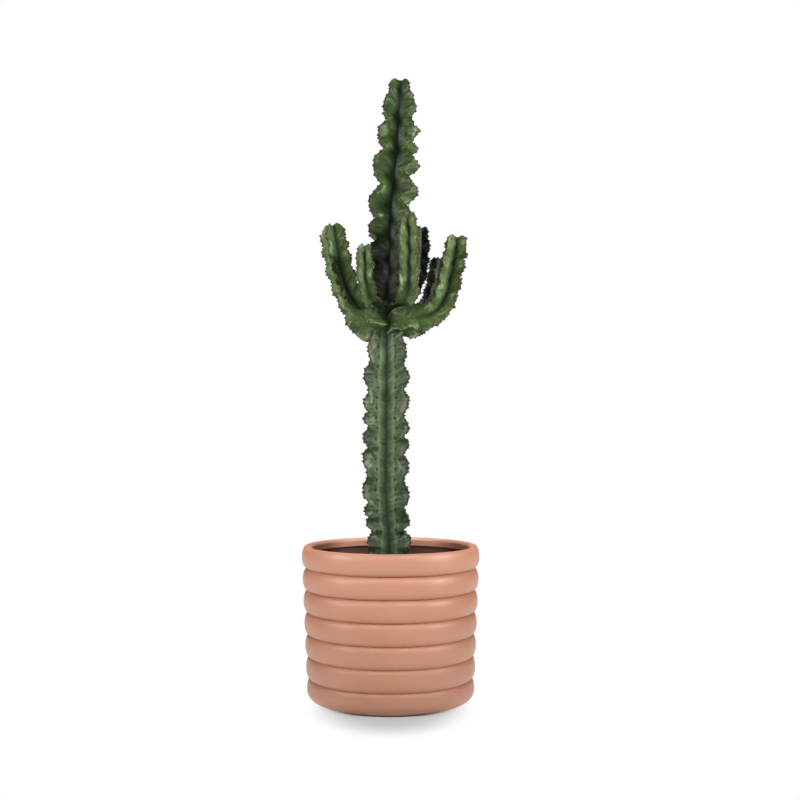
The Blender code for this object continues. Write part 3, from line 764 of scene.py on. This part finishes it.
skinTones = {
    "trunk": {
        "young": (0.044, 0.092, 0.013, 1.0), "old": (0.066, 0.102, 0.046, 1.0),
        "valley": (0.008, 0.020, 0.013, 1.0), "bloom": (0.210, 0.280, 0.135, 1.0),
        "cork": (0.190, 0.190, 0.120, 1.0), "shaded": (0.0035, 0.0048, 0.0028, 1.0),
        "bloomFrom": (0.55, 0.65), "seedShift": 0.0,
    },
    "arm": {
        "young": (0.082, 0.142, 0.022, 1.0), "old": (0.058, 0.098, 0.030, 1.0),
        "valley": (0.008, 0.018, 0.009, 1.0), "bloom": (0.290, 0.370, 0.180, 1.0),
        "cork": (0.230, 0.235, 0.120, 1.0), "shaded": (0.0035, 0.0048, 0.0020, 1.0),
        "bloomFrom": (0.54, 0.64), "seedShift": 4.0,
    },
    "horn": (0.013, 0.011, 0.008, 1.0), "hornPale": (0.058, 0.044, 0.026, 1.0),
    "red": (0.240, 0.052, 0.028, 1.0), "pit": (0.018, 0.030, 0.020, 1.0), "black": (0.0, 0.0, 0.0, 1.0),
}

skin = {
    "clouds": {"Coarse scale": 34.0, "Fine scale": 260.0, "Fine share": 0.35},
    "redSpots": {"Scale": 210.0, "Size": 0.24, "Amount": 0.10},
    "patches": (42.0, 5.0, 0.8), "veins": (1.0, 3.0),
    "veinsOut": 1.6, "veinsAlong": 190.0, "veinsSlant": -3.0, "veinHeight": 0.8,
    # from where to where a layer comes in, over the flank or over a mask
    "outerFrom": (0.46, 0.72), "darkVeinFrom": (0.52, 0.74), "cloudFrom": (0.25, 0.75),
    "paleVeinFrom": (0.50, 0.74), "innerFrom": (0.02, 0.44), "lineFrom": (0.0, 0.10),
    "waxFrom": (0.36, 0.68), "corkFrom": (0.62, 0.90), "corkPatchFrom": (0.50, 0.60),
    "pitFrom": (0.25, 0.75), "redFrom": (0.72, 0.92), "edgeFrom": (0.930, 0.980), "toothFrom": (0.25, 0.55),
    # how strong each layer is
    "outerDark": 0.42, "darkVein": 0.45, "cloudDark": 0.48, "paleVein": 0.27, "innerDark": 0.84,
    "wax": 0.62, "ridgeWax": 0.34, "red": 0.75, "bareWax": 0.22, "marginHorn": 0.70, "shade": 0.93,
    # strength for each step of depth or age, and strength without any
    "lineDark": (0.40, 0.40), "cork": (0.36, 0.14),
    "coat": {"rough": (0.42, 0.66), "bump": (0.45, 0.0008), "specular": 0.22},
}


def skinMaterial(kind):
    tones = skinTones[kind]
    material, tree, shader, place = newMaterial(kind + "_skin")
    flank, age, along, depth, margin = (
        field(tree, label) for label in ("flank", "age", "along", "valley", "margin"))
    shifted = vectorMaths(tree, "ADD", 0, place, (tones["seedShift"],) * 3)
    soft = useGroup(tree, mottle, shifted, skin["clouds"])
    spots = useGroup(tree, speckle, shifted, skin["redSpots"])["Mask"]
    # veins run across the flank from the valley to the margin
    slanted = maths(tree, "MULTIPLY_ADD", along, skin["veinsAlong"], times(tree, flank, skin["veinsSlant"]))
    veinPlace = put(tree, "ShaderNodeCombineXYZ", {0: times(tree, flank, skin["veinsOut"]), 1: slanted})
    veins = clouds(tree, veinPlace.outputs[0], *skin["veins"])
    patches = clouds(tree, shifted, *skin["patches"])

    def risen(value, label):
        return ramp(tree, value, *skin[label])

    def fallen(value, label):
        return flipped(tree, risen(value, label))

    edge = risen(flank, "edgeFrom")
    horny = maths(tree, "MAXIMUM", times(tree, edge, times(tree, margin, skin["marginHorn"])),
                  risen(field(tree, "tooth"), "toothFrom"))
    layers = (
        (age, tones["old"]),
        (times(tree, age, skin["outerDark"], risen(flank, "outerFrom")), tones["valley"]),
        (times(tree, risen(flipped(tree, veins), "darkVeinFrom"), skin["darkVein"]), tones["valley"]),
        (times(tree, fallen(soft["Mask"], "cloudFrom"), skin["cloudDark"]), skinTones["black"]),
        (times(tree, risen(veins, "paleVeinFrom"), skin["paleVein"]), tones["bloom"]),
        # darker skin and painted shade towards the valley, and darkest along its line
        (times(tree, fallen(flank, "innerFrom"), depth, skin["innerDark"]), tones["valley"]),
        (times(tree, fallen(flank, "lineFrom"), maths(tree, "MULTIPLY_ADD", depth, *skin["lineDark"])),
         tones["valley"]),
        # pale waxy bloom on the outer half of the flanks and on the ridges
        (times(tree, risen(flank, "waxFrom"), ramp(tree, patches, *tones["bloomFrom"]), skin["wax"]),
         tones["bloom"]),
        (times(tree, field(tree, "ridge"), skin["ridgeWax"]), tones["bloom"]),
        # corky patches near the old margins, pits, and red spots near the teeth
        (times(tree, risen(flank, "corkFrom"), risen(soft["Mask"], "corkPatchFrom"),
               maths(tree, "MULTIPLY_ADD", age, *skin["cork"])), tones["cork"]),
        (risen(field(tree, "pit"), "pitFrom"), skinTones["pit"]),
        (times(tree, spots, risen(flank, "redFrom"), skin["red"]), skinTones["red"]),
        # margins: bare and waxy where no teeth stand, else horny
        (times(tree, edge, flipped(tree, margin), skin["bareWax"]), tones["bloom"]),
        (horny, mixColour(tree, veins, skinTones["horn"], skinTones["hornPale"])),
        # painted shade: the fork, the back arms and sides turned to the plant's axis take a near-black tone
        (times(tree, field(tree, "shade"), skin["shade"]), tones["shaded"]),
    )
    height = maths(tree, "ADD", times(tree, veins, skin["veinHeight"]), soft["Height"])
    dress(tree, shader, layered(tree, tones["young"], layers), soft["Mask"], height, skin["coat"])
    return material


spines = {
    "length": (0.0020, 0.0036), "radius": 0.00048, "sides": 5, "seed": 71, "splay": (0.45, 0.85),
    "tilt": (-0.35, 0.30), "slip": (-0.0004, 0.0004), "helper": (0.3, 0.2, 0.93),
    "padLength": 0.0020, "padWidth": 0.0016, "padHeight": 0.0010, "padSides": 8, "padMark": 0.5,
    # rings below the point: (share of the height, share of the width)
    "coneRings": ((0.0, 1.0), (0.45, 0.62)), "padRings": ((-0.5, 1.0), (0.35, 0.86), (0.85, 0.45)),
    "clouds": {"Coarse scale": 120.0, "Fine scale": 900.0, "Fine share": 0.5},
    "pointFrom": (0.1, 0.8), "darkFrom": (0.40, 0.68),
    "coat": {"rough": (0.45, 0.75), "bump": (0.4, 0.0004), "specular": 0.5},
}


def spineMaterial():
    material, tree, shader, place = newMaterial("spine_horn")
    soft = useGroup(tree, mottle, place, spines["clouds"])
    tone = layered(tree, skinTones["hornPale"], (
        (ramp(tree, field(tree, "point"), *spines["pointFrom"]), skinTones["horn"]),
        (ramp(tree, soft["Mask"], *spines["darkFrom"]), skinTones["horn"]),
    ))
    dress(tree, shader, tone, soft["Mask"], soft["Height"], spines["coat"])
    return material


trunkSkin, armSkin, spineHorn = skinMaterial("trunk"), skinMaterial("arm"), spineMaterial()


def spinePiece(name, teeth, seed):
    # a horny pad on each tooth with a pair of splayed spines
    rng = random.Random(seed)
    points, faces, marks = [], [], []

    def peak(base, up, one, two, levels, sides, mark=None):
        # rings that narrow to a point
        start, last = len(points), len(points) + (len(levels) - 1) * sides
        for level, width in levels:
            middle = base + up * level
            points.extend(middle + (one * x + two * y) * width for x, y in zip(*circle(sides)))
            marks.extend([level if mark is None else mark] * sides)
        points.append(base + up)
        marks.append(1.0 if mark is None else mark)
        for low in range(start, last, sides):
            for step in range(sides):
                after, high = (step + 1) % sides, low + sides
                faces.append((low + step, low + after, high + after))
                faces.append((low + step, high + after, high + step))
        for step in range(sides):
            faces.append((last + step, last + (step + 1) % sides, last + sides))

    for place, outward, across, tangent in teeth:
        peak(place, outward * spines["padHeight"], across * spines["padWidth"],
             tangent * spines["padLength"], spines["padRings"], spines["padSides"], spines["padMark"])
        for way in (-1.0, 1.0):
            heading = outward + across * way * rng.uniform(*spines["splay"])
            heading = heading + tangent * rng.uniform(*spines["tilt"])
            heading = heading / np.linalg.norm(heading)
            base = place + tangent * rng.uniform(*spines["slip"])
            one = np.cross(heading, spines["helper"])
            one = one / np.linalg.norm(one)
            peak(base, heading * rng.uniform(*spines["length"]), one * spines["radius"],
                 np.cross(heading, one) * spines["radius"], spines["coneRings"], spines["sides"])
    piece = addPiece(name, np.array(points), [faces], spineHorn, attributes={"point": marks})
    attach(piece, "root")


# Trunk

trunk = {
    "line": ((-0.002, 0.000, 0.197), (-0.002, 0.000, 0.212), (-0.003, 0.000, 0.268), (-0.0078, 0.001, 0.340),
             (-0.0079, 0.002, 0.430), (-0.0066, 0.001, 0.560), (-0.0044, 0.000, 0.680),
             (-0.0005, 0.000, 0.774), (0.0027, 0.000, 0.842), (0.0095, 0.000, 0.911),
             (0.0130, 0.000, 0.963), (0.0160, 0.000, 1.038)),
    # pairs of a height and the value there
    "reach": ((0.212, 0.030), (0.236, 0.046), (0.262, 0.050), (0.276, 0.040), (0.292, 0.046), (0.34, 0.049),
              (0.54, 0.048), (0.590, 0.0415), (0.70, 0.042), (0.82, 0.043), (0.90, 0.041), (0.96, 0.036),
              (1.01, 0.031), (1.04, 0.029)),
    "sway": ((0.212, 0.002), (0.30, 0.004), (0.54, 0.0045), (0.59, 0.0030), (0.70, 0.006), (0.80, 0.010),
             (0.96, 0.009), (1.00, 0.005), (1.04, 0.001)),
    # heights of the lobes as the photograph shows them
    "leftCrests": (0.190, 0.243, 0.271, 0.299, 0.315, 0.347, 0.406, 0.438, 0.472, 0.492, 0.542, 0.590, 0.650,
                   0.700, 0.750, 0.788, 0.828, 0.898, 0.951, 0.999, 1.042),
    "rightCrests": (0.190, 0.243, 0.268, 0.293, 0.339, 0.391, 0.428, 0.452, 0.499, 0.540, 0.583, 0.630,
                    0.672, 0.722, 0.767, 0.812, 0.864, 0.911, 0.937, 0.962, 1.008, 1.046),
    # how far the front right wing leans to the front
    "lean": ((0.20, 0.0), (0.74, 0.0), (0.80, 0.011), (0.96, 0.010), (1.02, 0.002)),
    "azimuth": 45.0, "core": 0.0125, "footRadius": 0.020, "bareFoot": 0.004, "footBlend": 0.018,
    "spacing": 0.0011, "seed": 61, "lobeRound": 1.7, "toothGap": 0.0084, "pitsFrom": 0.05,
    # name, side that its lobes sway to first, and its crests
    "wings": (("back_right", -1.0, "rightCrests"), ("back_left", 1.0, "leftCrests"),
              ("front_left", -1.0, "leftCrests"), ("front_right", 1.0, "rightCrests")),
    # wings that reach further in the upper trunk
    "widened": {"back_right": ((0.20, 1.0), (0.70, 1.0), (0.78, 1.13), (1.00, 1.12), (1.04, 1.05)),
                "back_left": ((0.20, 1.0), (0.99, 1.0), (1.02, 1.08), (1.04, 1.08))},
    # how much painted shade the skin takes in the fork; the front right wing keeps some up its upper reach
    "paintedShade": ((0.20, 0.0), (0.59, 0.0), (0.65, 0.72), (0.74, 0.95), (0.79, 0.30), (0.84, 0.0)),
    "frontPaintedShade": ((0.20, 0.0), (0.59, 0.0), (0.65, 0.60), (0.74, 0.95), (0.79, 0.45), (0.90, 0.40),
                  (1.04, 0.25)),
    # 1 is old grey-green stem with a ridge beside each valley, 0 is young
    "age": ((0.20, 1.0), (0.60, 0.92), (0.72, 0.45), (0.86, 0.12), (1.04, 0.0)),
    "shoulder": ((0.20, 0.6), (0.30, 1.0), (0.60, 1.0), (0.68, 0.35), (0.76, 0.0)),
    "thinness": ((0.20, 1.0), (1.04, 0.85)),
    # wings draw in where arms are seated on them, at these heights
    "jointReach": 0.034, "jointHalfHeight": 0.027, "jointPower": 4,
    "jointSeats": {"front_left": (0.630, 0.6705), "front_right": (0.669,), "back_right": (0.692, 0.648)},
    "flank": (0.0, 0.05, 0.12, 0.20, 0.28, 0.345, 0.395, 0.435, 0.475, 0.54, 0.64, 0.76, 0.88, 0.965),
}


def trunkWing(name, way, crests, heights, tipShare):
    wave, spacing, phase = waveAlong(trunk[crests], heights)
    wave = 1 - 2 * (0.5 - 0.5 * wave) ** trunk["lobeRound"]
    swaying = np.minimum(lookUp(trunk["sway"], heights), spacing * section["swayLimit"])
    full = lookUp(trunk["reach"], heights)
    if name in trunk["widened"]:
        full = full * lookUp(trunk["widened"][name], heights)
    joint = np.zeros_like(heights)
    for seat in trunk["jointSeats"].get(name, ()):
        joint = joint + bell(heights - seat, trunk["jointHalfHeight"], trunk["jointPower"])
    free = 1 - np.minimum(1.0, joint)
    drawn = np.minimum(full, trunk["jointReach"])
    isFrontRight = name == "front_right"
    lean = lookUp(trunk["lean"], heights) if isFrontRight else 0.0
    grown = fade(heights, soil["top"] + trunk["bareFoot"], trunk["footBlend"])
    return {
        "reach": (drawn + (full - drawn) * free + section["reachWave"] * swaying * wave * free) * tipShare,
        "sway": (way * wave * swaying * free - lean) * tipShare, "waving": swaying * free * tipShare,
        "phase": phase, "grown": grown, "roundness": 1 - grown,
        "paintedShade": lookUp(trunk["frontPaintedShade" if isFrontRight else "paintedShade"], heights),
    }


def buildTrunk():
    rng = random.Random(trunk["seed"])
    places, along = smoothLine(trunk["line"], trunk["spacing"])
    heights = places[:, 2]
    tipShare, rise = tipShape(heights[-1] - heights)
    age = lookUp(trunk["age"], heights)
    stem = {
        "places": places, "along": along, "frames": framesAlong(places, trunk["azimuth"]),
        **stacked([trunkWing(*wing, heights, tipShare) for wing in trunk["wings"]]),
        "roundRadius": trunk["footRadius"], "core": trunk["core"] * part(section["coreShares"], tipShare),
        "rise": rise, "age": age, "valley": 1 - age, "shoulder": lookUp(trunk["shoulder"], heights),
        "thin": lookUp(trunk["thinness"], heights), "toothShare": np.ones(len(places)),
        "toothGap": trunk["toothGap"],
        "teeth": [toothPlaces(along[-1], trunk["toothGap"], rng) for _ in trunk["wings"]],
        "pits": np.arange(trunk["pitsFrom"], along[-1], section["pitGap"]),
        "outward": [way for _, way, _ in trunk["wings"]], "flank": trunk["flank"], "inwardShade": 0.0,
    }
    piece, teeth = stemPiece("trunk_stem", stem, trunkSkin, rng)
    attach(piece, "root")
    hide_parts("trunk")
    spinePiece("trunk_spines", teeth, spines["seed"])


buildTrunk()
print("trunk grown")


# Arms: each starts inside the trunk and bends up to its tip

# each arm carries two strengths of painted shade: one over the whole arm, and one on its sides turned to the
# plant's axis; the back arms take the most
arms = {
    "arm_left": {
        "line": ((-0.008, -0.004, 0.628), (-0.027, -0.020, 0.630), (-0.041, -0.026, 0.6375),
                 (-0.0550, -0.030, 0.652), (-0.0718, -0.031, 0.678), (-0.0850, -0.032, 0.717),
                 (-0.0940, -0.032, 0.7587), (-0.0980, -0.032, 0.7870)),
        "neck": 0.0125, "reach": 0.0233, "core": 0.0085, "shoulder": 0.001, "azimuth": -114, "sway": 0.0030,
        "seed": 31, "dark": 0.00, "inwardShade": 0.35, "baseReach": 0.023, "keel": 0.0125,
        "wingReach": (1.0, 1.08, 1.0, 1.0),
    },
    "arm_front_left": {
        "line": ((-0.008, -0.006, 0.664), (-0.0250, -0.0220, 0.6705), (-0.0320, -0.0405, 0.6705),
                 (-0.0376, -0.0585, 0.6800), (-0.0416, -0.0680, 0.7010), (-0.0426, -0.0695, 0.7250),
                 (-0.0424, -0.0695, 0.7480)),
        "neck": 0.0095, "reach": 0.0178, "core": 0.0062, "shoulder": 0.0, "azimuth": -130, "sway": 0.0020,
        "seed": 32, "dark": 0.05, "inwardShade": 0.30, "baseReach": 0.016, "keel": 0.006,
    },
    "arm_front_right": {
        "line": ((0.002, -0.006, 0.662), (0.0165, -0.0215, 0.6690), (0.0235, -0.0380, 0.6700),
                 (0.0290, -0.0540, 0.6840), (0.0305, -0.0600, 0.7120), (0.0305, -0.0600, 0.7557),
                 (0.0288, -0.0580, 0.7950)),
        "neck": 0.0095, "reach": 0.0225, "core": 0.0075, "shoulder": 0.0, "azimuth": -135, "sway": 0.0026,
        "seed": 33, "dark": 0.00, "inwardShade": 0.00, "baseReach": 0.018, "keel": 0.004,
    },
    "arm_right": {
        "line": ((0.001, -0.005, 0.618), (0.0165, -0.0195, 0.630), (0.0405, -0.0270, 0.6355),
                 (0.0715, -0.0300, 0.6450), (0.0910, -0.0300, 0.672), (0.1015, -0.0300, 0.716),
                 (0.1078, -0.0300, 0.748), (0.1105, -0.0300, 0.7685)),
        "neck": 0.0125, "reach": 0.0256, "core": 0.0078, "shoulder": 0.004, "azimuth": -135, "sway": 0.0030,
        "seed": 34, "dark": 0.00, "inwardShade": 0.00, "baseReach": 0.027, "keel": 0.008,
    },
    "arm_back_right": {
        "line": ((0.001, 0.006, 0.684), (0.0160, 0.0210, 0.692), (0.0285, 0.0335, 0.690),
                 (0.0415, 0.0450, 0.700), (0.0480, 0.0490, 0.727), (0.0508, 0.0500, 0.766),
                 (0.0522, 0.0500, 0.7965)),
        "neck": 0.0095, "reach": 0.0180, "core": 0.0070, "shoulder": 0.0, "azimuth": -120, "sway": 0.0024,
        "seed": 35, "dark": 0.45, "inwardShade": 0.90, "baseReach": 0.015, "keel": 0.003,
    },
    "arm_back_small": {
        "line": ((0.001, 0.006, 0.640), (0.0155, 0.0210, 0.648), (0.0340, 0.0390, 0.647),
                 (0.0530, 0.0570, 0.655), (0.0670, 0.0690, 0.676), (0.0770, 0.0750, 0.708),
                 (0.0818, 0.0760, 0.7465)),
        "neck": 0.0085, "reach": 0.0150, "core": 0.0058, "shoulder": 0.0, "azimuth": -100, "sway": 0.0018,
        "seed": 36, "dark": 1.00, "inwardShade": 0.90, "baseReach": 0.013, "keel": 0.003,
    },
}
armShape = {
    # stretches from the seat on the trunk, each a start and a length
    "grow": (0.0, 0.040), "blend": (-0.010, 0.026), "toothGrow": (-0.002, 0.034),
    "valleyGrow": (0.018, 0.040),
    "age": ((0.0, 0.75), (0.06, 0.30), (0.30, 0.0)), "shadeShares": (1.0, -0.4), "thinness": 0.9,
    "shoulderAt": 0.028, "shoulderLength": 0.015, "keelLength": 0.035, "turnLength": 0.085,
    "rootLength": 0.006, "rootShares": (0.5, 0.5), "neckShare": 0.7, "wingReach": (1.0, 1.0, 1.0, 1.0),
    "firstCrest": (-0.02, 0.0), "crestGap": (0.020, 0.034), "crestsPast": 0.01,
    "spacing": 0.0011, "toothGap": 0.0064, "toothShare": 0.9, "noPits": -1.0, "spineSeed": 50,
    "flank": (0.0, 0.07, 0.17, 0.29, 0.41, 0.53, 0.66, 0.79, 0.90, 0.97),
}


def turnedRoot(places, along, arm):
    # turn the frames near the root until one wing faces front, and say how far each points down there
    tangents, sides, thirds = framesAlong(places, arm["azimuth"])
    front = np.array((0.0, -1.0, 0.0))
    angle = math.atan2(front.dot(thirds[0]), front.dot(sides[0]))
    quarter = math.pi / 2
    angle -= quarter * round(angle / quarter)
    turn = (angle * (1 - eased(along / armShape["turnLength"])))[:, None]
    newSides = sides * np.cos(turn) + thirds * np.sin(turn)
    newThirds = thirds * np.cos(turn) - sides * np.sin(turn)
    ways = [newSides[0], newThirds[0], -newSides[0], -newThirds[0]]
    return (tangents, newSides, newThirds), [max(0.0, -way[2]) for way in ways]


def buildArm(name, arm):
    rng = random.Random(arm["seed"])
    places, along = smoothLine(arm["line"], armShape["spacing"])
    seat = along[np.argmin(np.linalg.norm(places - np.array(arm["line"][1]), axis=1))]
    frames, drops = turnedRoot(places, along, arm)
    rooted = part(armShape["rootShares"], eased(along / (seat + armShape["rootLength"])))
    fromSeat = along - seat
    past, length = np.maximum(fromSeat, 0), fromSeat[-1]
    tipShare, rise = tipShape(length - fromSeat)
    grow, blend = fade(fromSeat, *armShape["grow"]), fade(fromSeat, *armShape["blend"])
    wingReach = arm.get("wingReach", armShape["wingReach"])
    shoulder = arm["shoulder"] * bell(fromSeat - armShape["shoulderAt"], armShape["shoulderLength"])
    # painted shade over the whole arm, weaker towards its tip
    paintedShade = arm["dark"] * part(armShape["shadeShares"], eased(fromSeat / length))
    core = arm["core"] + (arm["neck"] - arm["core"]) * armShape["neckShare"] * (1 - grow)
    wings = []
    for wing in range(section["wings"]):
        crests = [rng.uniform(*armShape["firstCrest"])]
        while crests[-1] < length + armShape["crestsPast"]:
            crests.append(crests[-1] + rng.uniform(*armShape["crestGap"]))
        wave, spacing, phase = waveAlong(crests, fromSeat)
        swaying = np.minimum(arm["sway"], spacing * section["swayLimit"]) * blend * tipShare
        full = arm["baseReach"] + (arm["reach"] - arm["baseReach"]) * grow
        full = (full + section["reachWave"] * swaying * wave + shoulder) * wingReach[wing]
        full = full + arm["keel"] * drops[wing] * bell(past, armShape["keelLength"])
        wings.append({"reach": full * tipShare * rooted, "sway": wave * swaying, "waving": swaying,
                      "phase": phase, "grown": blend, "roundness": np.zeros(len(places)), "paintedShade": paintedShade})
    stem = {
        "places": places, "along": along, "frames": frames, **stacked(wings),
        "roundRadius": arm["neck"], "core": core * part(section["coreShares"], tipShare), "rise": rise,
        "age": lookUp(armShape["age"], past), "valley": fade(fromSeat, *armShape["valleyGrow"]),
        "shoulder": np.zeros(len(places)), "thin": np.full(len(places), armShape["thinness"]),
        "toothShare": armShape["toothShare"] * fade(fromSeat, *armShape["toothGrow"]),
        "toothGap": armShape["toothGap"],
        "teeth": [toothPlaces(along[-1], armShape["toothGap"], rng) for _ in wings],
        "pits": np.array([armShape["noPits"]]), "outward": [1.0] * len(wings), "flank": armShape["flank"],
        "inwardShade": arm["inwardShade"],
    }
    piece, teeth = stemPiece(name + "_stem", stem, armSkin, rng)
    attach(piece, "root")
    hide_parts(name)
    spinePiece(name + "_spines", teeth, arm["seed"] + armShape["spineSeed"])


for name, arm in arms.items():
    buildArm(name, arm)
print("arms grown")
